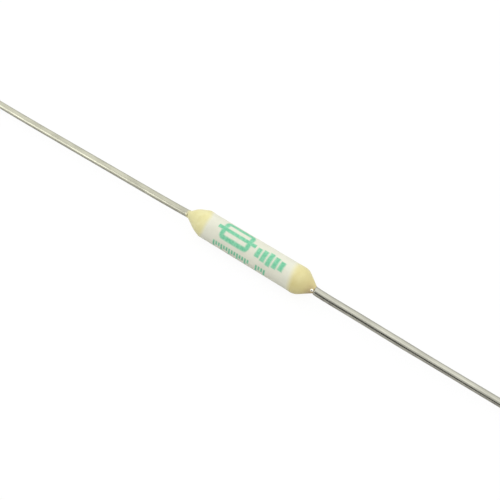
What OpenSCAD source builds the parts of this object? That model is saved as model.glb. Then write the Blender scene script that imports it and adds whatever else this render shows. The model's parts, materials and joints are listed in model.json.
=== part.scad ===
// Axial thermal fuse: a ceramic tube with a low-melting alloy rod inside, a wire lead at
// each end and a resin seal around each lead. All sizes are in millimetres.
// +X runs along the leads and +Z is up. The origin is the middle of the tube, on its axis.

/* [Ceramic tube] */
// Outer diameter of the tube
tube_od = 2.35; // [2:0.05:3]
// Wall thickness of the tube
tube_wall = 0.4; // [0.3:0.05:0.5]
// Length of the tube
tube_len = 9.2; // [7.5:0.1:12]
// Chamfer on the edges of the tube's ends
tube_chamfer = 0.06; // [0.02:0.01:0.09]

/* [Leads] */
// Diameter of the tinned lead
lead_d = 0.65; // [0.5:0.05:0.7]
// Thickness of the tin on the copper wire
tin_t = 0.015; // [0.01:0.001:0.03]
// Straight length of each tinned lead
lead_free = 35; // [20:1:60]
// Bare copper between a seal's tip and the tinned length
tin_start = 0.05; // [0.03:0.01:0.3]
// Height of the right lead's tip above the table that the body and the left tip lie on
right_tip_lift = 0.4; // [0.2:0.05:0.6]
// Chamfer on a lead's cut end
tip_chamfer = 0.05; // [0.02:0.01:0.1]

/* [Nail heads] */
// Thickness of the nail head on a lead's inner end
head_t = 0.2; // [0.15:0.05:0.4]
// Length of the taper between nail head and wire
head_taper = 0.12; // [0.05:0.01:0.2]
// Gap all round between a nail head and the tube's bore
head_clearance = 0.2; // [0.1:0.02:0.25]
// Bare wire between a seal's inner face and the nail head's taper
head_space = 0.3; // [0.1:0.05:0.6]

/* [Fusible link] */
// Rim of the nail head that stands out around the alloy rod
head_rim = 0.1; // [0.05:0.01:0.15]
// Gap all round between the flux at its thickest and the tube's bore
flux_clearance = 0.07; // [0.04:0.01:0.12]

/* [Seals] */
// Length of a seal's dome outside the tube
dome_len = 1.65; // [1.3:0.05:2]
// Depth of a seal's plug inside the tube
plug_depth = 1.5; // [1:0.1:2]
// Dish of a plug's inner face
plug_dish = 0.12; // [0.05:0.01:0.2]
// Thickness of the resin where it ends on the lead
tip_film = 0.03; // [0.02:0.01:0.06]
// Width of the left seal's skirt on the tube
left_skirt = 0.35; // [0.1:0.05:0.5]
// Thickness of the left seal's skirt
left_film = 0.03; // [0.02:0.01:0.08]
// Shoulder radius of the left seal
left_shoulder_r = 0.6; // [0.3:0.05:0.8]
// Fillet radius of the left seal around its lead
left_fillet_r = 0.2; // [0.1:0.05:0.4]
// Width of the right seal's skirt on the tube
right_skirt = 0.6; // [0.1:0.05:1]
// Thickness of the right seal's skirt
right_film = 0.04; // [0.02:0.01:0.08]
// Shoulder radius of the right seal
right_shoulder_r = 1.1; // [0.5:0.05:1.2]
// Fillet radius of the right seal around its lead
right_fillet_r = 0.15; // [0.1:0.05:0.4]

/* [Hidden] */
$fn = 64;
// Straight steps on each rounded stretch of an outline
arc_steps = 12;

tube_r = tube_od / 2;
bore_r = tube_r - tube_wall;
lead_r = lead_d / 2;
copper_r = lead_r - tin_t;
tube_end = tube_len / 2;
dome_end = tube_end + dome_len;
plug_face = tube_end - plug_depth;

head_r = bore_r - head_clearance;
head_back = plug_face - head_space - head_taper;
head_front = head_back - head_t;
alloy_r = head_r - head_rim;
flux_r = bore_r - flux_clearance;

// The body lies on its thicker skirt. The left tip reaches down to the same table.
under_r = tube_r + max(left_film, right_film);
left_droop = droop_angle(under_r - lead_r);
right_droop = droop_angle(under_r - lead_r - right_tip_lift);
// How far the copper wire is drawn on inside the tinned length, well within its end
copper_overlap = lead_r / 3;

ceramic_white = [0.93, 0.93, 0.86];
resin_cream = [0.91, 0.87, 0.65];
tinned_wire = [0.78, 0.77, 0.71];
alloy_grey = [0.64, 0.64, 0.67];
flux_amber = [0.79, 0.60, 0.24];

// Angle of a lead whose tip comes down by this much over its free length
function droop_angle(drop) = asin(drop / lead_free);

// Points on an arc around [along, radius], from one angle to another
function arc(centre, r, from, to) = [
    for (i = [0:arc_steps])
        let (a = from + (to - from) * i / arc_steps)
        centre + r * [cos(a), sin(a)]
];

// Revolves an outline of [along, radius] points about the X axis
module revolve(outline) {
    rotate([0, 90, 0])
        rotate_extrude()
            polygon([for (p = outline) [p[1], p[0]]]);
}

module ceramic_tube() {
    color(ceramic_white)
        revolve([
            [-tube_end, bore_r + tube_chamfer],
            [-tube_end, tube_r - tube_chamfer],
            [-tube_end + tube_chamfer, tube_r],
            [tube_end - tube_chamfer, tube_r],
            [tube_end, tube_r - tube_chamfer],
            [tube_end, bore_r + tube_chamfer],
            [tube_end - tube_chamfer, bore_r],
            [-tube_end + tube_chamfer, bore_r]
        ]);
}

// A resin seal at the +X end: a plug in the bore, a skirt on the tube and a dome that
// falls from a round shoulder, down a cone, to a fillet around the lead
module seal(skirt, film, shoulder_r, fillet_r) {
    skirt_r = tube_r + film;
    shoulder = [tube_end, skirt_r - shoulder_r];
    fillet = [dome_end, copper_r + tip_film + fillet_r];
    // Slope of the cone that touches both rounds
    apart = fillet - shoulder;
    slope = asin((shoulder_r + fillet_r) / norm(apart)) - atan2(apart[1], apart[0]);
    // The plug's inner face is an arc from the wire to the bore
    half_gap = (bore_r - copper_r) / 2;
    dish_r = (half_gap * half_gap + plug_dish * plug_dish) / (2 * plug_dish);
    dish_half = asin(half_gap / dish_r);
    dish = [plug_face + plug_dish - dish_r, copper_r + half_gap];
    revolve(concat(
        arc(dish, dish_r, -dish_half, dish_half),
        [
            [tube_end - tube_chamfer, bore_r],
            [tube_end, bore_r + tube_chamfer],
            [tube_end, tube_r - tube_chamfer],
            [tube_end - tube_chamfer, tube_r],
            [tube_end - skirt, tube_r],
            [tube_end - skirt + film, skirt_r]
        ],
        arc(shoulder, shoulder_r, 90, 90 - slope),
        arc(fillet, fillet_r, 270 - slope, 270),
        [[dome_end, copper_r]]
    ));
}

module end_seal_left() {
    color(resin_cream)
        mirror([1, 0, 0])
            seal(left_skirt, left_film, left_shoulder_r, left_fillet_r);
}

module end_seal_right() {
    color(resin_cream)
        seal(right_skirt, right_film, right_shoulder_r, right_fillet_r);
}

// A lead at the +X end: a nail head and straight copper wire in the seal, then the tinned
// length, which droops a little from where it starts
module lead(droop) {
    revolve([
        [head_front, 0],
        [head_front, head_r],
        [head_back, head_r],
        [head_back + head_taper, copper_r],
        [dome_end + tin_start + copper_overlap, copper_r],
        [dome_end + tin_start + copper_overlap, 0]
    ]);
    translate([dome_end + tin_start, 0, 0])
        rotate([0, droop, 0])
            revolve([
                [0, 0],
                [0, lead_r],
                [lead_free - tip_chamfer, lead_r],
                [lead_free, lead_r - tip_chamfer],
                [lead_free, 0]
            ]);
}

module lead_left() {
    color(tinned_wire)
        mirror([1, 0, 0])
            lead(left_droop);
}

module lead_right() {
    color(tinned_wire)
        lead(right_droop);
}

module fusible_alloy() {
    color(alloy_grey)
        revolve([
            [-head_front, 0],
            [-head_front, alloy_r],
            [head_front, alloy_r],
            [head_front, 0]
        ]);
}

// Flux around the alloy rod, thickest in the middle and level with the nail heads at its ends
module flux_coating() {
    rise = flux_r - head_r;
    barrel_r = (head_front * head_front + rise * rise) / (2 * rise);
    barrel_half = asin(head_front / barrel_r);
    color(flux_amber)
        revolve(concat(
            [[-head_front, alloy_r]],
            arc([0, flux_r - barrel_r], barrel_r, 90 + barrel_half, 90 - barrel_half),
            [[head_front, alloy_r]]
        ));
}

ceramic_tube();
end_seal_left();
end_seal_right();
lead_left();
lead_right();
fusible_alloy();
flux_coating();
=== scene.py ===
"""Looks, lights and camera for an axial thermal fuse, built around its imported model.

Lengths are in metres, apart from the paths of the ink marks, which are in millimetres.
The fuse lies along X with +Z up, and its body is centred on the origin.
"""

import json
import math
from typing import Callable, NamedTuple

import bmesh
import bpy
from mathutils import Matrix, Vector, noise


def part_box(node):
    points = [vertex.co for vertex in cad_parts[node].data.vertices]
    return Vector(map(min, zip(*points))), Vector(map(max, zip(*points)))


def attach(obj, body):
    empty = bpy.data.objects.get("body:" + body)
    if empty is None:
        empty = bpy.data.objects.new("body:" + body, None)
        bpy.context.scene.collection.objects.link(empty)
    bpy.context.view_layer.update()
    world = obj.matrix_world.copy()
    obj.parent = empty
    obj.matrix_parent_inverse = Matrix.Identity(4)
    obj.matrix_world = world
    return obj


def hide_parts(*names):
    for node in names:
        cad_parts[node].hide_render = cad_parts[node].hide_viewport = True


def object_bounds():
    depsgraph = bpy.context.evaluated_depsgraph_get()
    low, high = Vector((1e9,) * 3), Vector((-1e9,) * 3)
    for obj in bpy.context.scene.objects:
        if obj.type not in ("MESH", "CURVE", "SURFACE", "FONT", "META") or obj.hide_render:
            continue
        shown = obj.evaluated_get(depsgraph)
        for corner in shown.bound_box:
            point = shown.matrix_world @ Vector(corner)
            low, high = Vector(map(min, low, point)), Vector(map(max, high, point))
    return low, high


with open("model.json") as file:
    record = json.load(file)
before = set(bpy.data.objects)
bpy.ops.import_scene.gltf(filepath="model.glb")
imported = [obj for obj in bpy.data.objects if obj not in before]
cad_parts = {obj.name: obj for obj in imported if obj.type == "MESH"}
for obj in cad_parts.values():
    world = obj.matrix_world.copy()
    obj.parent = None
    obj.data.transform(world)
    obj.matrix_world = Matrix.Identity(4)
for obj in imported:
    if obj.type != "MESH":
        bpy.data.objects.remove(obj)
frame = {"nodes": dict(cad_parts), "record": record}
cad_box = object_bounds()

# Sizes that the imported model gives
MM = 0.001
TUBE_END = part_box("ceramic_tube")[1].x
DOME_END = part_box("end_seal_right")[1].x
HEAD_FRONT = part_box("fusible_alloy")[1].x
FLOOR_Z = cad_box[0].z
MOUNTS = {mount["name"]: mount for mount in frame["record"]["mounts"]}

# Sizes inside the solids
TUBE_R = 1.175 * MM
BORE_R = 0.775 * MM
TUBE_CHAMFER = 0.06 * MM
COPPER_R = 0.31 * MM
HEAD_R = 0.575 * MM
HEAD_T = 0.2 * MM
HEAD_TAPER = 0.12 * MM
PLUG_DEPTH = 1.5 * MM
PLUG_DISH = 0.12 * MM
TIP_FILM = 0.03 * MM

# The photograph's view
IMAGE_PIXELS = 500
PIXELS_PER_MM = 12.2
BODY_PIXEL = (250.48, 251.09)
AXIS_SLOPE = math.radians(31.1)
ELEVATION = math.radians(60.0)
AZIMUTH = math.atan(math.tan(AXIS_SLOPE) / math.sin(ELEVATION))
CAMERA_DISTANCE = 62 * MM
SENSOR_MM = 36.0
# Angle from straight up, towards the viewer, of the line along the tube that faces the camera
FACING = math.atan2(math.cos(AZIMUTH) * math.cos(ELEVATION), math.sin(ELEVATION))

# Linear colours
CERAMIC_WHITE = (0.835, 0.835, 0.695)
CERAMIC_SHADE = (0.79, 0.79, 0.65)
RESIN_LIGHT = (0.875, 0.825, 0.43)
RESIN_DARK = (0.83, 0.77, 0.375)
# Warm resin tone, also carrying painted shade
RESIN_WARM_AND_SHADE = (0.70, 0.58, 0.24)
# Painted shade at the resin's tip
RESIN_TIP_SHADE = (0.48, 0.36, 0.21)
TIN_LIGHT = (0.45, 0.445, 0.45)
TIN_DARK = (0.37, 0.365, 0.37)
# Painted shade for the wires' lower near side
TIN_PAINTED_SHADE = (0.20, 0.185, 0.16)
DROP_LIGHT = (0.98, 0.95, 0.87)
DROP_DARK = (0.93, 0.89, 0.79)
COPPER_LIGHT = (0.86, 0.46, 0.28)
COPPER_DARK = (0.55, 0.22, 0.10)
INK_FULL = (0.155, 0.58, 0.335)
INK_FAINT = (0.29, 0.71, 0.45)
ALLOY_LIGHT = (0.58, 0.58, 0.61)
ALLOY_DARK = (0.38, 0.38, 0.41)
FLUX_LIGHT = (0.66, 0.38, 0.08)
FLUX_DARK = (0.46, 0.22, 0.03)


# Helpers for shapes

def around(x, radius, angle):
    """A point at this angle from the line that faces the camera. Positive angles go down the near side."""
    turn = FACING + angle
    return Vector((x, -radius * math.sin(turn), radius * math.cos(turn)))


def smooth(low, high, value):
    """Rises smoothly from 0 at low to 1 at high."""
    u = min(max((value - low) / (high - low), 0.0), 1.0)
    return u * u * (3 - 2 * u)


def ripple(point, size, seed):
    """Smooth noise from -1 to 1 with features of about this size."""
    return noise.noise(point / size + Vector((seed, 2 * seed, 3 * seed)))


def place_object(name, data):
    """A new object in the scene."""
    made = bpy.data.objects.new(name, data)
    bpy.context.scene.collection.objects.link(made)
    return made


def mesh_object(name, vertices, faces, sharp_degrees):
    """A smooth-shaded mesh with its normals outwards and its sharp corners kept."""
    mesh = bpy.data.meshes.new(name)
    mesh.from_pydata(vertices, [], faces)
    shape = bmesh.new()
    shape.from_mesh(mesh)
    bmesh.ops.recalc_face_normals(shape, faces=shape.faces)
    shape.to_mesh(mesh)
    shape.free()
    mesh.shade_smooth()
    mesh.set_sharp_from_angle(angle=math.radians(sharp_degrees))
    return place_object(name, mesh)


def store_values(piece, name, values):
    """Gives each vertex of a piece a value that its material reads by this name."""
    layer = piece.data.attributes.new(name, "FLOAT", "POINT")
    layer.data.foreach_set("value", values)


def ring_faces(rings, segments, closed):
    """Quads between neighbouring rings, and between the last and the first where the rings are closed."""
    faces = []
    for i in range(rings if closed else rings - 1):
        a, b = i * segments, (i + 1) % rings * segments
        for j in range(segments):
            k = (j + 1) % segments
            faces.append((a + j, a + k, b + k, b + j))
    return faces


# Helpers for materials

def add_node(tree, kind, inputs=None, **attributes):
    """A shader node with its attributes set, and its inputs set or linked."""
    made = tree.nodes.new(kind)
    for name, value in attributes.items():
        setattr(made, name, value)
    for name, value in (inputs or {}).items():
        if isinstance(value, bpy.types.NodeSocket):
            tree.links.new(value, made.inputs[name])
        else:
            made.inputs[name].default_value = value
    return made


def new_material(name, constants):
    """A node material, its tree and its main shader, with the shader's constant inputs set."""
    material = bpy.data.materials.new(name)
    material.use_nodes = True
    tree = material.node_tree
    shader = tree.nodes["Principled BSDF"]
    for socket, value in constants.items():
        shader.inputs[socket].default_value = value
    return material, tree, shader


def grain(tree, size, detail, stretch=(1.0, 1.0, 1.0)):
    """Noise with features of about this size, drawn out along the axes by stretch."""
    place = add_node(tree, "ShaderNodeTexCoord")
    scaled = add_node(tree, "ShaderNodeMapping", {
        "Vector": place.outputs["Object"],
        "Scale": tuple(1 / (size * s) for s in stretch),
    })
    made = add_node(tree, "ShaderNodeTexNoise", {
        "Vector": scaled.outputs[0], "Scale": 1.0, "Detail": detail,
    })
    return made.outputs[0]


def vertex_value(tree, name):
    """The value that the mesh stores by this name."""
    return add_node(tree, "ShaderNodeAttribute", attribute_name=name).outputs["Fac"]


def ramp(tree, factor, *stops):
    """A colour ramp between two (position, colour) stops."""
    made = add_node(tree, "ShaderNodeValToRGB", {"Fac": factor})
    for element, (position, colour) in zip(made.color_ramp.elements, stops):
        element.position = position
        element.color = (*colour, 1.0)
    return made.outputs["Color"]


def span(tree, factor, first, last):
    """Maps noise from its usual range onto first to last."""
    usual_low, usual_high = 0.3, 0.7
    made = add_node(tree, "ShaderNodeMapRange", {
        "Value": factor, "From Min": usual_low, "From Max": usual_high, "To Min": first, "To Max": last,
    })
    return made.outputs[0]


def mix_in(tree, factor, base, colour):
    """Blends from a base, which is a socket, to a plain colour."""
    factor_in, base_in, colour_in, result_out = 0, 6, 7, 2
    made = add_node(tree, "ShaderNodeMix", {
        factor_in: factor, base_in: base, colour_in: (*colour, 1.0),
    }, data_type="RGBA")
    return made.outputs[result_out]


def paint(tree, shader, colour, roughness):
    """Links a colour and a roughness to the shader."""
    tree.links.new(colour, shader.inputs["Base Color"])
    tree.links.new(roughness, shader.inputs["Roughness"])


def add_bump(tree, shader, height, depth, strength):
    """Gives the shader a bump of this depth."""
    made = add_node(tree, "ShaderNodeBump", {"Height": height, "Distance": depth, "Strength": strength})
    tree.links.new(made.outputs[0], shader.inputs["Normal"])


# Materials

def ceramic_material():
    """Fine-grained fired alumina: a warm white with a faint grain and a dull sheen."""
    material, tree, shader = new_material("ceramic", {"Specular IOR Level": 0.35})
    cloud = grain(tree, size=0.8 * MM, detail=4.0)
    speck = grain(tree, size=0.03 * MM, detail=2.0)
    tone = ramp(tree, cloud, (0.3, CERAMIC_SHADE), (0.6, CERAMIC_WHITE))
    paint(tree, shader, tone, span(tree, speck, first=0.45, last=0.62))
    add_bump(tree, shader, speck, depth=2e-6, strength=0.35)
    return material


def resin_material():
    """Cast epoxy: cream and a little cloudy, warm towards its tip, with painted shade that browns and
    deepens it by side, and paler where it thins out.
    """
    material, tree, shader = new_material("sealing_resin", {"Specular IOR Level": 0.45})
    cloud = grain(tree, size=0.6 * MM, detail=4.0)
    fine = grain(tree, size=0.06 * MM, detail=3.0)
    tone = ramp(tree, cloud, (0.35, RESIN_DARK), (0.62, RESIN_LIGHT))
    # Warm tone towards the tip, deepened by painted shade on one side
    tone = mix_in(tree, vertex_value(tree, "warm_and_shade"), tone, RESIN_WARM_AND_SHADE)
    # Painted shade: browner towards the tip on the lower near side
    tone = mix_in(tree, vertex_value(tree, "tip_shade"), tone, RESIN_TIP_SHADE)
    tone = mix_in(tree, vertex_value(tree, "thin"), tone, CERAMIC_WHITE)
    paint(tree, shader, tone, span(tree, fine, first=0.26, last=0.40))
    add_bump(tree, shader, fine, depth=3e-6, strength=0.3)
    return material


def less_blue(colour, share):
    """A colour with this share of its blue."""
    red, green, blue = colour
    return red, green, blue * share


def tinned_material(name, blue, dullest, brightest, crept):
    """Tin on drawn copper wire: grey, with streaks along the wire and dull patches, and painted shade in
    brown blotches where the mesh stores it on the lower near side.

    blue is the share of blue in its grey. dullest and brightest are the roughness of the dull
    patches and of the rest. crept says whether resin has crept onto it.
    """
    material, tree, shader = new_material(name, {"Metallic": 1.0})
    streaks = grain(tree, size=0.05 * MM, detail=4.0, stretch=(60.0, 1.0, 1.0))
    patches = grain(tree, size=0.5 * MM, detail=4.0, stretch=(3.0, 1.0, 1.0))
    blotches = grain(tree, size=0.25 * MM, detail=4.0, stretch=(2.0, 1.0, 1.0))
    tone = ramp(tree, patches, (0.3, less_blue(TIN_DARK, blue)), (0.65, less_blue(TIN_LIGHT, blue)))
    # Painted shade: the wire's lower near side is darkened to brown, broken into blotches
    painted_shade_share = add_node(tree, "ShaderNodeMath", {
        0: vertex_value(tree, "painted_shade"), 1: span(tree, blotches, first=2.0, last=0.0),
    }, operation="MULTIPLY", use_clamp=True)
    tone = mix_in(tree, painted_shade_share.outputs[0], tone, TIN_PAINTED_SHADE)
    if crept:
        creep = vertex_value(tree, "creep")
        tone = mix_in(tree, creep, tone, RESIN_DARK)
        metal = add_node(tree, "ShaderNodeMath", {0: 1.0, 1: creep}, operation="SUBTRACT")
        tree.links.new(metal.outputs[0], shader.inputs["Metallic"])
    paint(tree, shader, tone, span(tree, patches, first=dullest, last=brightest))
    add_bump(tree, shader, streaks, depth=6e-6, strength=0.5)
    return material


def bright_tin_material():
    """Fresh tin that set in a drop, smooth and bright."""
    material, tree, shader = new_material("bright_tin", {"Metallic": 1.0})
    skin = grain(tree, size=0.08 * MM, detail=2.0)
    tone = ramp(tree, skin, (0.3, DROP_DARK), (0.7, DROP_LIGHT))
    paint(tree, shader, tone, span(tree, skin, first=0.22, last=0.14))
    return material


def copper_material():
    """Freshly cut copper with the marks of the cutter."""
    material, tree, shader = new_material("cut_copper", {"Metallic": 1.0})
    marks = grain(tree, size=0.02 * MM, detail=3.0, stretch=(1.0, 1.0, 8.0))
    tone = ramp(tree, marks, (0.3, COPPER_DARK), (0.7, COPPER_LIGHT))
    paint(tree, shader, tone, span(tree, marks, first=0.45, last=0.28))
    add_bump(tree, shader, marks, depth=4e-6, strength=0.6)
    return material


def ink_material():
    """Stamped green ink, a little uneven where it took less well, and paler where it bleeds."""
    material, tree, shader = new_material("marking_ink", {"Specular IOR Level": 0.4})
    uneven = grain(tree, size=0.18 * MM, detail=4.0)
    tone = ramp(tree, uneven, (0.3, INK_FAINT), (0.6, INK_FULL))
    tone = mix_in(tree, vertex_value(tree, "bleed"), tone, CERAMIC_WHITE)
    paint(tree, shader, tone, span(tree, uneven, first=0.55, last=0.42))
    return material


def alloy_material():
    """Cast low-melting alloy: a soft grey metal."""
    material, tree, shader = new_material("low_melting_alloy", {"Metallic": 1.0})
    crystals = grain(tree, size=0.15 * MM, detail=5.0)
    tone = ramp(tree, crystals, (0.3, ALLOY_DARK), (0.7, ALLOY_LIGHT))
    paint(tree, shader, tone, span(tree, crystals, first=0.3, last=0.5))
    return material


def flux_material():
    """Rosin flux: glossy amber."""
    material, tree, shader = new_material("flux", {"Specular IOR Level": 0.5, "Coat Weight": 0.3})
    swirls = grain(tree, size=0.5 * MM, detail=3.0)
    tone = ramp(tree, swirls, (0.3, FLUX_DARK), (0.7, FLUX_LIGHT))
    paint(tree, shader, tone, span(tree, swirls, first=0.15, last=0.3))
    return material


# Ceramic tube

def ceramic_tube():
    """The tube, turned from its section, with rounded rims."""
    segments, long_steps = 96, 24
    rim = TUBE_CHAMFER
    bevel = rim * 0.3
    straight = TUBE_END - rim
    outside = [(-straight + 2 * straight * i / long_steps, TUBE_R) for i in range(long_steps + 1)]
    right_end = [
        (TUBE_END - bevel, TUBE_R - bevel),
        (TUBE_END, TUBE_R - rim),
        (TUBE_END, BORE_R + rim),
        (TUBE_END - bevel, BORE_R + bevel),
        (straight, BORE_R),
    ]
    left_end = [(-x, r) for x, r in reversed(right_end)]
    section = outside + right_end + left_end
    vertices = [around(x, r, math.tau * j / segments) for x, r in section for j in range(segments)]
    faces = ring_faces(len(section), segments, closed=True)
    return mesh_object("tube_body", vertices, faces, sharp_degrees=40)


# Resin seals

# How far the skirt's thin edge starts under the tube's surface
SKIRT_UNDER = 0.5e-6
# Share of the tip's warm colour and painted shade that the shoulder has
SHOULDER_WARM_AND_SHADE = 0.6


class Seal(NamedTuple):
    """What shapes a resin seal. Its functions take an angle from the line that faces the camera."""

    # -1 for the left end, 1 for the right end
    side: int
    # Where its noise starts
    seed: float
    # Thickness of the skirt
    film: float
    # Length over which the skirt thins out
    fade: float
    # Radius of the round shoulder
    shoulder_r: float
    # Radius of the fillet around the wire
    fillet_r: float
    # Share of the dome's length at which its extra radius is greatest
    fullest: float
    # Width of the skirt on the tube
    edge_at: Callable
    # How much the shoulder falls short
    slump_at: Callable
    # Extra radius of the dome
    fullness_at: Callable
    # How deep the colour gets towards the tip, partly its own warm tone and partly painted shade that
    # changes around it
    warmth_and_shade_at: Callable
    # How strong the painted shade gets towards the tip
    tip_shade_at: Callable


class SealPoint(NamedTuple):
    """A point of a seal's section, with how thin the resin is there, how warm it is with painted shade, and
    how strong the painted shade at its tip is.
    """

    along: float
    radius: float
    thin: float = 0.0
    warm_and_shade: float = 0.0
    tip_shade: float = 0.0


def dome_outline(skirt_r, shoulder_r, fillet_r):
    """Points (along from the tube's end, radius) of a dome: round shoulder, cone, fillet round the wire."""
    steps = 12
    length = DOME_END - TUBE_END
    shoulder = Vector((0.0, skirt_r - shoulder_r))
    fillet = Vector((length, COPPER_R + TIP_FILM + fillet_r))
    apart = fillet - shoulder
    slope = math.asin((shoulder_r + fillet_r) / apart.length) - math.atan2(apart.y, apart.x)
    points = []
    for i in range(steps + 1):
        turn = math.pi / 2 - slope * i / steps
        points.append(shoulder + shoulder_r * Vector((math.cos(turn), math.sin(turn))))
    cone_from = points[-1]
    cone_to = fillet - fillet_r * Vector((math.sin(slope), math.cos(slope)))
    points += [cone_from.lerp(cone_to, i / steps) for i in range(1, steps)]
    for i in range(steps + 1):
        turn = 1.5 * math.pi - slope * (1 - i / steps)
        points.append(fillet + fillet_r * Vector((math.cos(turn), math.sin(turn))))
    return points


def plug_points():
    """Points of a plug: its dished inner face, then its fit in the bore and over the tube's rim."""
    dish_steps = 6
    points = []
    for i in range(dish_steps + 1):
        across = i / dish_steps
        dished = PLUG_DISH * 4 * across * (1 - across)
        points.append(SealPoint(TUBE_END - PLUG_DEPTH + dished, COPPER_R + (BORE_R - COPPER_R) * across))
    points.append(SealPoint(TUBE_END - TUBE_CHAMFER, BORE_R))
    points.append(SealPoint(TUBE_END, BORE_R + TUBE_CHAMFER))
    points.append(SealPoint(TUBE_END, TUBE_R - TUBE_CHAMFER))
    points.append(SealPoint(TUBE_END - TUBE_CHAMFER, TUBE_R))
    return points


def skirt_points(seal, angle):
    """Points of a skirt, from its thin and ragged edge to the shoulder."""
    steps = 12
    # The edge's noise is read around a circle of no real size, so the ripple has none either
    ragged, circle_r, ripple_size = 0.03 * MM, 0.5, 0.4
    least_film = 0.2 * seal.film
    waver = ragged * ripple(around(seal.side, circle_r, angle), ripple_size, seal.seed)
    width = seal.edge_at(angle) + seal.fade / 2 + waver
    film = max(seal.film - seal.slump_at(angle), least_film)
    shoulder_warm_and_shade = SHOULDER_WARM_AND_SHADE * seal.warmth_and_shade_at(angle)
    points = []
    for i in range(steps):
        along = i / steps
        thick = film * smooth(0, 1, along) - SKIRT_UNDER
        thin = 1 - smooth(0, seal.fade / width, along)
        warm_and_shade = shoulder_warm_and_shade * along
        points.append(SealPoint(TUBE_END - width * (1 - along), TUBE_R + thick, thin, warm_and_shade))
    return points


def dome_points(seal, outline, angle):
    """Points of a dome along its outline, with this angle's share of its lopsided and uneven shape."""
    swell_power = 1.3
    wobble, wobble_size = 0.012 * MM, 0.7 * MM
    slump_middle, slump_width = 0.1, 0.2
    warm_and_shade_from, warm_and_shade_to = 0.2, 0.9
    tip_shade_from, tip_shade_to = 0.45, 1
    length = DOME_END - TUBE_END
    skew = math.log(0.5) / math.log(seal.fullest)
    slump, warmth_and_shade, tip_shade = seal.slump_at(angle), seal.warmth_and_shade_at(angle), seal.tip_shade_at(angle)
    shoulder_warm_and_shade = SHOULDER_WARM_AND_SHADE * warmth_and_shade
    points = []
    for point in outline:
        u = point.x / length
        swell = math.sin(math.pi * min(u, 1.0) ** skew) ** swell_power
        place = around(seal.side * point.x, point.y, angle)
        uneven = wobble * ripple(place, wobble_size, seal.seed) * swell
        sunk = slump * math.exp(-((u - slump_middle) / slump_width) ** 2)
        radius = point.y + seal.fullness_at(angle) * swell + uneven - sunk
        # Warm colour and painted shade deepen towards the tip
        warm_and_shade = shoulder_warm_and_shade + (warmth_and_shade - shoulder_warm_and_shade) * smooth(warm_and_shade_from, warm_and_shade_to, u)
        tip_shade_value = tip_shade * smooth(tip_shade_from, tip_shade_to, u)
        points.append(SealPoint(TUBE_END + point.x, radius, warm_and_shade=warm_and_shade, tip_shade=tip_shade_value))
    points.append(SealPoint(DOME_END, COPPER_R, warm_and_shade=warmth_and_shade, tip_shade=tip_shade))
    return points


def end_seal(name, seal):
    """A resin seal with an uneven skirt and a slightly lopsided dome."""
    segments = 128
    angles = [math.tau * j / segments for j in range(segments)]
    outline = dome_outline(TUBE_R + seal.film, seal.shoulder_r, seal.fillet_r)
    sections = [plug_points() + skirt_points(seal, a) + dome_points(seal, outline, a) for a in angles]
    rings = list(zip(*sections))
    vertices = [around(seal.side * p.along, p.radius, a) for ring in rings for p, a in zip(ring, angles)]
    piece = mesh_object(name, vertices, ring_faces(len(rings), segments, closed=True), sharp_degrees=50)
    for value in ("thin", "warm_and_shade", "tip_shade"):
        store_values(piece, value, [getattr(point, value) for ring in rings for point in ring])
    return piece


# Leads

class Wire(NamedTuple):
    """What shapes the tinned length of a lead. Its functions take a distance along that length."""

    # -1 for the left end, 1 for the right end
    side: int
    # How far it bends towards the front, at a share of the length in place of a distance
    bend_at: Callable
    # Extra thickness of its coat
    coat_at: Callable
    # How far resin covers it
    creep_at: Callable
    # How strong the painted shade on its lower near side is
    painted_shade_at: Callable


class WireRing(NamedTuple):
    """A ring around a wire, with how far resin covers it and how strong the painted shade on its near side
    is.
    """

    centre: Vector
    radius: float
    creep: float = 0.0
    painted_shade: float = 0.0


def nail_rings(side):
    """Rings of a nail head with rounded edges and of the copper wire from there to the seal's tip."""
    rounding = 0.03 * MM
    head_back = HEAD_FRONT + HEAD_T
    outline = (
        (HEAD_FRONT, HEAD_R - rounding),
        (HEAD_FRONT + rounding, HEAD_R),
        (head_back - rounding, HEAD_R),
        (head_back, HEAD_R - rounding),
        (head_back + HEAD_TAPER, COPPER_R),
        (DOME_END, COPPER_R),
    )
    return [WireRing(Vector((side * x, 0, 0)), radius) for x, radius in outline]


def ring_places(length):
    """Distances of the rings along a tinned length, close together where it starts."""
    fine, coarse, coarse_from = 0.03 * MM, 0.5 * MM, 0.6 * MM
    end_space = 0.06 * MM
    places = []
    along = 0.0
    while along < length - end_space:
        places.append(along)
        along += fine if along < coarse_from else coarse
    return places


def moved_aside(point, wire, along, length):
    """A point of a straight wire, moved by the wire's bend and slight sway at this distance along it."""
    most_sway, full_sway_at = 0.015 * MM, 6 * MM
    pace_across, pace_up, lag = 3.1 * MM, 4.3 * MM, 2.0
    swing = most_sway * smooth(0, full_sway_at, along)
    across = math.sin(along / pace_across + wire.side)
    up = math.sin(along / pace_up + lag + wire.side)
    bend = Vector((0.0, -wire.bend_at(along / length), 0.0))
    return point + swing * Vector((0.0, across, up)) + bend


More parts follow.
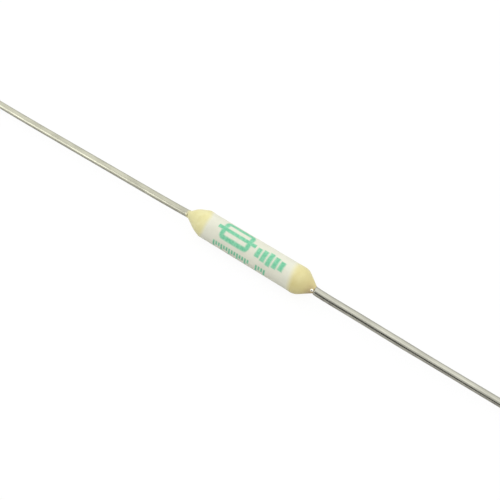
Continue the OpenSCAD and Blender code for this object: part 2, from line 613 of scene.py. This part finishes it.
def tinned_rings(wire):
    """Rings of the drooping tinned length, from its rounded start to its chamfered end."""
    rounding, rounded_length = 0.012 * MM, 0.05 * MM
    end_outline_mm = ((0.05, 0.0), (0.015, 0.02), (0.0, 0.05))
    mount = MOUNTS["lead_right" if wire.side > 0 else "lead_left"]
    axis = Vector(mount["axis"])
    length = mount["dims"]["length_mm"] * MM
    tin_r = mount["dims"]["r_mm"] * MM
    start = Vector(mount["pos_m"]) - axis * length / 2
    places = ring_places(length)
    rings = []
    for along in places:
        centre = moved_aside(start + axis * along, wire, along, length)
        rounded = rounding * (1 - smooth(0, rounded_length, along))
        radius = tin_r + wire.coat_at(along) - rounded
        rings.append(WireRing(centre, radius, wire.creep_at(along), wire.painted_shade_at(along)))
    end = moved_aside(start + axis * length, wire, places[-1], length)
    for before_end, cut in end_outline_mm:
        centre = end - axis * before_end * MM
        rings.append(WireRing(centre, tin_r - cut * MM, painted_shade=wire.painted_shade_at(length)))
    return rings


def lead(name, wire):
    """A lead with its nail head, the straight wire in the seal and the drooping tinned length."""
    segments = 48
    # Painted shade darkens the lower near side of each ring
    painted_shade_from, painted_shade_full = 0.4, 0.85
    rings = nail_rings(wire.side) + tinned_rings(wire)
    vertices, crept, painted_shade_values = [], [], []
    for ring in rings:
        for j in range(segments):
            angle = math.tau * j / segments
            vertices.append(ring.centre + around(0.0, ring.radius, angle))
            crept.append(ring.creep)
            painted_shade_values.append(ring.painted_shade * smooth(painted_shade_from, painted_shade_full, math.sin(angle)))
    faces = ring_faces(len(rings), segments, closed=False)
    faces.append(tuple(range(segments)))
    last = (len(rings) - 1) * segments
    faces.append(tuple(last + j for j in range(segments)))
    piece = mesh_object(name, vertices, faces, sharp_degrees=35)
    store_values(piece, "creep", crept)
    store_values(piece, "painted_shade", painted_shade_values)
    return piece


def tin_drop():
    """A small bright drop of tin on the right seal's tip, egg-shaped and a little uneven."""
    drop_x, drop_r, drop_turn = DOME_END - 0.13 * MM, 0.40 * MM, math.radians(20)
    half_length, half_width, half_height = 0.15 * MM, 0.11 * MM, 0.07 * MM
    narrowing, unevenness, ripple_size, seed = 0.25, 0.06, 0.8, 4.0
    middle = around(drop_x, drop_r, drop_turn)
    out = around(0.0, 1.0, drop_turn)
    along = Vector((1.0, 0.0, 0.0))
    across = out.cross(along)
    shape = bmesh.new()
    bmesh.ops.create_icosphere(shape, subdivisions=4, radius=1.0)
    for vertex in shape.verts:
        x, y, z = vertex.co
        swell = 1 - narrowing * x + unevenness * ripple(vertex.co, ripple_size, seed)
        offset = along * (x * half_length)
        offset += across * (y * half_width * swell)
        offset += out * (z * half_height * swell)
        vertex.co = middle + offset
    mesh = bpy.data.meshes.new("tin_drop")
    shape.to_mesh(mesh)
    shape.free()
    mesh.shade_smooth()
    return place_object("tin_drop", mesh)


# Ink marks

# How far the ink reaches under the tube's surface and stands over it, also where strokes cross
INK_UNDER = 4e-6
INK_OVER = 6e-6
INK_CROSSING = 7.5e-6
# How pale the edges of a stroke are, and how ragged, as a share of its width
INK_BLEED = 0.8
INK_RAGGED = 0.12
# Size of the ragged edges' ripple and where its noise starts
INK_RIPPLE_MM = 0.13
INK_SEED = 5.0
# Length of the steps along a stroke, and along one that crosses another
STROKE_STEP_MM = 0.08
CROSSING_STEP_MM = 0.04


def distance_to(point, path):
    """Distance from a point to a closed path of straight steps."""
    nearest = math.inf
    for i in range(len(path)):
        a, b = Vector(path[i - 1]), Vector(path[i])
        step = b - a
        share = min(max((point - a).dot(step) / step.length_squared, 0.0), 1.0)
        nearest = min(nearest, (point - a - step * share).length)
    return nearest


def stroke(path, width, closed=False, over=INK_OVER, crossed=None):
    """Vertices, faces and edge bleed of a thin band of ink along (along, up) points on the tube.

    Up is measured over the tube's surface from its top line, towards the far side. The band's edges
    bleed, except close to crossed, the closed path of another band.
    """
    count = len(path)
    edge = 0.5
    across = (-edge, -edge / 2, 0.0, edge / 2, edge)
    vertices, bleed = [], []
    for i, (x, up) in enumerate(path):
        ahead = path[(i + 1) % count] if closed or i < count - 1 else path[i]
        behind = path[i - 1] if closed or i > 0 else path[i]
        direction = Vector((ahead[0] - behind[0], ahead[1] - behind[1])).normalized()
        normal = Vector((-direction.y, direction.x))
        at_end = not closed and i in (0, count - 1)
        for lift, offsets in ((over, across), (-INK_UNDER, across[::-1])):
            for offset in offsets:
                ragged = 1 + INK_RAGGED * ripple(Vector((x, up, offset)), INK_RIPPLE_MM, INK_SEED)
                point = Vector((x, up)) + normal * offset * width * ragged
                vertices.append(around(point.x * MM, TUBE_R + lift, -point.y * MM / TUBE_R - FACING))
                soft = INK_BLEED if at_end or abs(offset) == edge else 0.0
                if soft and crossed:
                    soft *= smooth(width / 4, width / 2, distance_to(point, crossed))
                bleed.append(soft)
    loop = 2 * len(across)
    faces = ring_faces(count, loop, closed)
    if not closed:
        faces.append(tuple(range(loop)))
        faces.append(tuple((count - 1) * loop + k for k in range(loop)))
    return vertices, faces, bleed


def line(start, end, step=STROKE_STEP_MM):
    """Points along a straight stroke."""
    a, b = Vector(start), Vector(end)
    count = max(2, round((b - a).length / step))
    return [tuple(a.lerp(b, i / count)) for i in range(count + 1)]


def rounded_box(low, high, radius):
    """Points around a rectangle with round corners."""
    corner_steps = 6
    centres = (
        (high[0] - radius, high[1] - radius),
        (low[0] + radius, high[1] - radius),
        (low[0] + radius, low[1] + radius),
        (high[0] - radius, low[1] + radius),
    )
    points = []
    for quarter, (x, up) in enumerate(centres):
        arc = []
        for i in range(corner_steps + 1):
            turn = math.radians(90 * quarter + 90 * i / corner_steps)
            arc.append((x + radius * math.cos(turn), up + radius * math.sin(turn)))
        if points:
            points += line(points[-1], arc[0])[1:-1]
        points += arc
    return points + line(points[-1], points[0])[1:-1]


def sign_strokes():
    """A fuse sign: a rounded box with a line through it."""
    low, high, corner_r = (-2.52, -0.70), (-0.05, 0.74), 0.24
    box_width, line_width, tail = 0.49, 0.41, 0.62
    middle = (low[1] + high[1]) / 2
    box_path = rounded_box(low, high, corner_r)
    line_path = line((low[0] - tail, middle), (high[0] + tail, middle), CROSSING_STEP_MM)
    return [
        stroke(box_path, box_width, closed=True),
        stroke(line_path, line_width, over=INK_CROSSING, crossed=box_path),
    ]


def bar_strokes():
    """A row of bars that rise and fall."""
    middle_x, middle_up, pitch, width = 2.09, -0.3, 0.56, 0.52
    tallest_half, fall = 0.63, 0.09
    strokes = []
    for i in (-2, -1, 0, 1, 2):
        x, half = middle_x + pitch * i, tallest_half - fall * abs(i)
        strokes.append(stroke(line((x, middle_up - half), (x, middle_up + half)), width))
    return strokes


def tick_strokes():
    """Two rows of ticks along the near side, every third one longer."""
    top, short_end, long_end = -1.27, -1.75, -2.05
    pitch, width, long_every = 0.26, 0.21, 3
    strokes = []
    for first, count in ((-2.9, 14), (1.3, 4)):
        for i in range(count):
            x, end = first + pitch * i, short_end if i % long_every else long_end
            strokes.append(stroke(line((x, end), (x, top)), width))
    return strokes


def marking():
    """Generic ink marks: a fuse sign, bars that rise and fall, and ticks along the near side."""
    vertices, faces, bleed = [], [], []
    for points, quads, soft in sign_strokes() + bar_strokes() + tick_strokes():
        faces += [tuple(len(vertices) + k for k in face) for face in quads]
        vertices += points
        bleed += soft
    piece = mesh_object("marking", vertices, faces, sharp_degrees=40)
    store_values(piece, "bleed", bleed)
    return piece


# The whole fuse

def dress(piece, node, slot, *materials):
    """Gives a piece its materials and its place on the frame."""
    for material in materials:
        piece.data.materials.append(material)
    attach(piece, "root")
    if node:
        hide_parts(node)
    return piece


def build_seals():
    """The two resin seals."""
    resin = resin_material()
    left = Seal(
        side=-1, seed=3.1, film=0.03 * MM, fade=0.5 * MM,
        shoulder_r=0.6 * MM, fillet_r=0.2 * MM, fullest=0.65,
        # The skirt is widest along the line that faces the camera
        edge_at=lambda a: (0.28 + 0.21 * smooth(0.4, 0.85, math.cos(a))) * MM,
        # The near side has slumped, and the dome is fuller on the far side
        slump_at=lambda a: 0.085 * smooth(0.2, 0.9, math.sin(a)) * MM,
        fullness_at=lambda a: (0.07 - 0.08 * math.sin(a)) * MM,
        # Painted shade: slightly deeper colour on the upper side
        warmth_and_shade_at=lambda a: 0.05 + 0.12 * smooth(0.2, 0.9, -math.sin(a)),
        tip_shade_at=lambda a: 0.0,
    )
    right = Seal(
        side=1, seed=7.3, film=0.04 * MM, fade=0.66 * MM,
        shoulder_r=1.1 * MM, fillet_r=0.15 * MM, fullest=0.5,
        # The skirt is wider on the far side, and painted shade makes the tip browner on the lower near side
        edge_at=lambda a: (0.37 - 0.17 * math.sin(a)) * MM,
        slump_at=lambda a: 0.025 * MM,
        fullness_at=lambda a: -0.02 * math.sin(a) * MM,
        # Painted shade: deeper colour on the lower near side and paler on top
        warmth_and_shade_at=lambda a: 0.8 + 0.2 * math.sin(a),
        tip_shade_at=lambda a: 0.45 + 0.45 * math.sin(a),
    )
    dress(end_seal("resin_left", left), "end_seal_left", "sealing_resin", resin)
    dress(end_seal("resin_right", right), "end_seal_right", "sealing_resin", resin)


def build_leads():
    """The two leads, with copper showing where they were cut."""
    copper = copper_material()
    dull_tin = tinned_material("dull_tin", blue=0.79, dullest=0.40, brightest=0.28, crept=True)
    clean_tin = tinned_material("clean_tin", blue=0.84, dullest=0.28, brightest=0.17, crept=False)
    left = Wire(
        side=-1,
        bend_at=lambda u: (0.12 * math.sin(math.pi * u ** 0.65) + 0.05 * smooth(0.38, 0.65, u)) * MM,
        # A little resin has crept out of the seal
        coat_at=lambda along: 0.02 * MM * (1 - smooth(0, 0.25 * MM, along)),
        creep_at=lambda along: 0.5 * (1 - smooth(0, 0.22 * MM, along)),
        # Painted shade on the lower near side, even along the wire
        painted_shade_at=lambda along: 0.3,
    )
    right = Wire(
        side=1,
        bend_at=lambda u: (
            0.055 * math.sin(math.tau * u ** 0.58)
            + 0.013 * math.sin(math.pi * u ** 0.58)
            + 0.045 * (1 - smooth(0, 0.12, u))
        ) * MM,
        # The tin is thicker near the seal
        coat_at=lambda along: 0.03 * MM * (1 - smooth(7.5 * MM, 11 * MM, along)),
        creep_at=lambda along: 0.0,
        # The painted shade on the lower near side is strongest beside the seal and again further out
        painted_shade_at=lambda along: (
            0.22 + 0.33 * smooth(6 * MM, 13 * MM, along) + 0.4 * (1 - smooth(1 * MM, 4 * MM, along))
        ),
    )
    left_wire = dress(lead("wire_left", left), "lead_left", "tinned_copper", dull_tin, copper)
    right_wire = dress(lead("wire_right", right), "lead_right", "tinned_copper", clean_tin, copper)
    for piece in (left_wire, right_wire):
        cut_end = piece.data.polygons[-1]
        cut_end.material_index = 1


def build_fuse():
    """All the pieces of the fuse."""
    dress(ceramic_tube(), "ceramic_tube", "ceramic", ceramic_material())
    build_seals()
    build_leads()
    dress(tin_drop(), None, "tinned_copper", bright_tin_material())
    dress(marking(), None, None, ink_material())
    for node, material in (("fusible_alloy", alloy_material()), ("flux_coating", flux_material())):
        mesh = frame["nodes"][node].data
        mesh.materials.clear()
        mesh.materials.append(material)


# Table and surround

FLOOR_HALF = 2.0
# How pale the table is where it lights the fuse, and where metal mirrors it
FLOOR_ALBEDO = 0.56
WHITE_ALBEDO = 0.93
# How pale it is to the camera, and how much it glows there, which makes it white but for the shadow
WHITE_DIFFUSE = 0.12
WHITE_GLOW = 0.9
# How far from the fuse its shadow starts to fade, and where the table is plain white to the camera
SHADOW_FADES = 45 * MM
SHADOW_GONE = 60 * MM
# How bright the surround is where it lights the fuse, beside a white of 1
SKY_STRENGTH = 0.93
CARD_ROUGHNESS = 0.9


def grey(albedo):
    """A neutral colour."""
    return albedo, albedo, albedo, 1.0


def rays(tree, *kinds):
    """1 for rays of any of these kinds, and 0 for others."""
    path = add_node(tree, "ShaderNodeLightPath")
    found = path.outputs[kinds[0]]
    for kind in kinds[1:]:
        greater = add_node(tree, "ShaderNodeMath", {0: found, 1: path.outputs[kind]}, operation="MAXIMUM")
        found = greater.outputs[0]
    return found


def either(tree, factor, first, second):
    """The first shader where the factor is 0 and the second where it is 1."""
    return add_node(tree, "ShaderNodeMixShader", {0: factor, 1: first.outputs[0], 2: second.outputs[0]})


def flat_panel(name, corners):
    """A flat stage panel."""
    mesh = bpy.data.meshes.new(name)
    mesh.from_pydata(corners, [], [tuple(range(len(corners)))])
    panel = place_object(name, mesh)
    return panel


def table_to_camera(tree):
    """What the camera sees of the table: white with the fuse's shadow, and plain white further off."""
    soft = add_node(tree, "ShaderNodeBsdfDiffuse", {"Color": grey(WHITE_DIFFUSE)})
    glow = add_node(tree, "ShaderNodeEmission", {"Strength": WHITE_GLOW})
    near = add_node(tree, "ShaderNodeAddShader", {0: soft.outputs[0], 1: glow.outputs[0]})
    far = add_node(tree, "ShaderNodeEmission", {"Strength": 1.0})
    place = add_node(tree, "ShaderNodeTexCoord")
    distance = add_node(tree, "ShaderNodeVectorMath", {0: place.outputs["Object"]}, operation="LENGTH")
    farness = add_node(tree, "ShaderNodeMapRange", {
        "Value": distance.outputs["Value"], "From Min": SHADOW_FADES, "From Max": SHADOW_GONE,
    })
    return either(tree, farness.outputs[0], near, far)


def floor():
    """A pale table that shows white to the camera and in reflections, and keeps the fuse's shadow."""
    half = FLOOR_HALF
    places = ((-half, -half), (half, -half), (half, half), (-half, half))
    table = flat_panel("floor", [(x, y, FLOOR_Z) for x, y in places])
    material = bpy.data.materials.new("floor")
    material.use_nodes = True
    tree = material.node_tree
    tree.nodes.clear()
    plain = add_node(tree, "ShaderNodeBsdfDiffuse", {"Color": grey(FLOOR_ALBEDO)})
    paper = add_node(tree, "ShaderNodeBsdfDiffuse", {"Color": grey(WHITE_ALBEDO)})
    unseen = either(tree, rays(tree, "Is Glossy Ray", "Is Transmission Ray"), plain, paper)
    chosen = either(tree, rays(tree, "Is Camera Ray"), unseen, table_to_camera(tree))
    add_node(tree, "ShaderNodeOutputMaterial", {"Surface": chosen.outputs[0]})
    table.data.materials.append(material)


def sky():
    """An even white surround."""
    world = bpy.data.worlds.new("sky")
    world.use_nodes = True
    tree = world.node_tree
    tree.nodes.clear()
    light, white = (
        add_node(tree, "ShaderNodeBackground", {"Color": grey(1.0), "Strength": strength})
        for strength in (SKY_STRENGTH, 1.0)
    )
    chosen = either(tree, rays(tree, "Is Camera Ray", "Is Glossy Ray", "Is Transmission Ray"), light, white)
    add_node(tree, "ShaderNodeOutputWorld", {"Surface": chosen.outputs[0]})
    bpy.context.scene.world = world


# Lights and camera

def heading(azimuth, elevation):
    """The direction from the object towards a viewer at these angles."""
    flat = math.cos(elevation)
    return Vector((math.sin(azimuth) * flat, -math.cos(azimuth) * flat, math.sin(elevation)))


def mirrored(x, turn):
    """The direction that a wire at x mirrors to the camera, at this turn from straight up to the front.

    A mirror image keeps its slope along the wire, so only the turn around the wire is free.
    """
    view = heading(AZIMUTH, ELEVATION) * CAMERA_DISTANCE - Vector((x, 0.0, 0.0))
    along = -view.normalized().x
    across = math.sqrt(1 - along * along)
    return Vector((along, -across * math.sin(turn), across * math.cos(turn)))


def area_lamp(name, x, turn_degrees, distance, size, glow):
    """A flat lamp that faces the fuse at x, from the direction that a wire there mirrors to the camera.

    size is its length along the fuse and its width. glow is how bright it looks beside a white of 1.
    """
    length, width = size
    lamp = bpy.data.lights.new(name, "AREA")
    lamp.shape = "RECTANGLE"
    lamp.size, lamp.size_y = length, width
    lamp.energy = glow * math.pi * length * width
    direction = mirrored(x, math.radians(turn_degrees))
    sideways = (Vector((1.0, 0.0, 0.0)) - direction * direction.x).normalized()
    holder = place_object(name, lamp)
    holder.location = Vector((x, 0.0, 0.0)) + direction * distance
    holder.rotation_euler = Matrix((sideways, direction.cross(sideways), direction)).transposed().to_euler()
    holder.visible_camera = False
    return holder


def card(name, y, left_edge, right_edge, albedo):
    """An upright card along the fuse, outside the picture, that a wire mirrors.

    Each edge is given by its place along the fuse and the heights that it reaches from and to.
    """
    corners = []
    for x, low, high in (left_edge, right_edge):
        corners += [(x, y, FLOOR_Z + low), (x, y, FLOOR_Z + high)]
    panel = flat_panel(name, [corners[0], corners[2], corners[3], corners[1]])
    panel.visible_camera = False
    material, _, _ = new_material(name, {"Base Color": grey(albedo), "Roughness": CARD_ROUGHNESS})
    panel.data.materials.append(material)


def lights():
    """Soft lamps for the whole fuse, lamps that only gloss shows and a dark card for the right wire."""
    key = area_lamp(
        "key", x=0.0, turn_degrees=26, distance=260 * MM, size=(260 * MM, 260 * MM), glow=0.42,
    )
    back = area_lamp(
        "back", x=0.0, turn_degrees=-60, distance=260 * MM, size=(150 * MM, 150 * MM), glow=0.60,
    )
    for lamp in (key, back):
        lamp.visible_glossy = False
    left = area_lamp(
        "glint_left", x=-21 * MM, turn_degrees=60, distance=90 * MM, size=(70 * MM, 40 * MM), glow=2.0,
    )
    right = area_lamp(
        "glint_right", x=13 * MM, turn_degrees=0, distance=80 * MM, size=(60 * MM, 36 * MM), glow=0.30,
    )
    tent = area_lamp(
        "tent", x=0.0, turn_degrees=-25, distance=200 * MM, size=(400 * MM, 400 * MM), glow=0.50,
    )
    for lamp in (left, right, tent):
        lamp.visible_diffuse = False
    card(
        "front_card", y=-75 * MM, left_edge=(-25 * MM, 3 * MM, 90 * MM),
        right_edge=(50 * MM, 3 * MM, 38 * MM), albedo=0.09,
    )


def camera():
    """The photograph's camera."""
    towards = heading(AZIMUTH, ELEVATION)
    right = Vector((math.cos(AZIMUTH), math.sin(AZIMUTH), 0.0))
    up = towards.cross(right)
    pixel = MM / PIXELS_PER_MM
    middle = IMAGE_PIXELS / 2
    aim = right * (middle - BODY_PIXEL[0]) * pixel + up * (BODY_PIXEL[1] - middle) * pixel
    data = bpy.data.cameras.new("camera")
    data.sensor_width = SENSOR_MM
    data.lens = SENSOR_MM * CAMERA_DISTANCE / (IMAGE_PIXELS * pixel)
    data.clip_start = 5 * MM
    data.clip_end = 10.0
    holder = place_object("camera", data)
    holder.location = aim + towards * CAMERA_DISTANCE
    holder.rotation_euler = towards.to_track_quat("Z", "Y").to_euler()
    bpy.context.scene.camera = holder


bpy.context.scene.view_settings.view_transform = "Standard"
camera()
build_fuse()
floor()
sky()
lights()
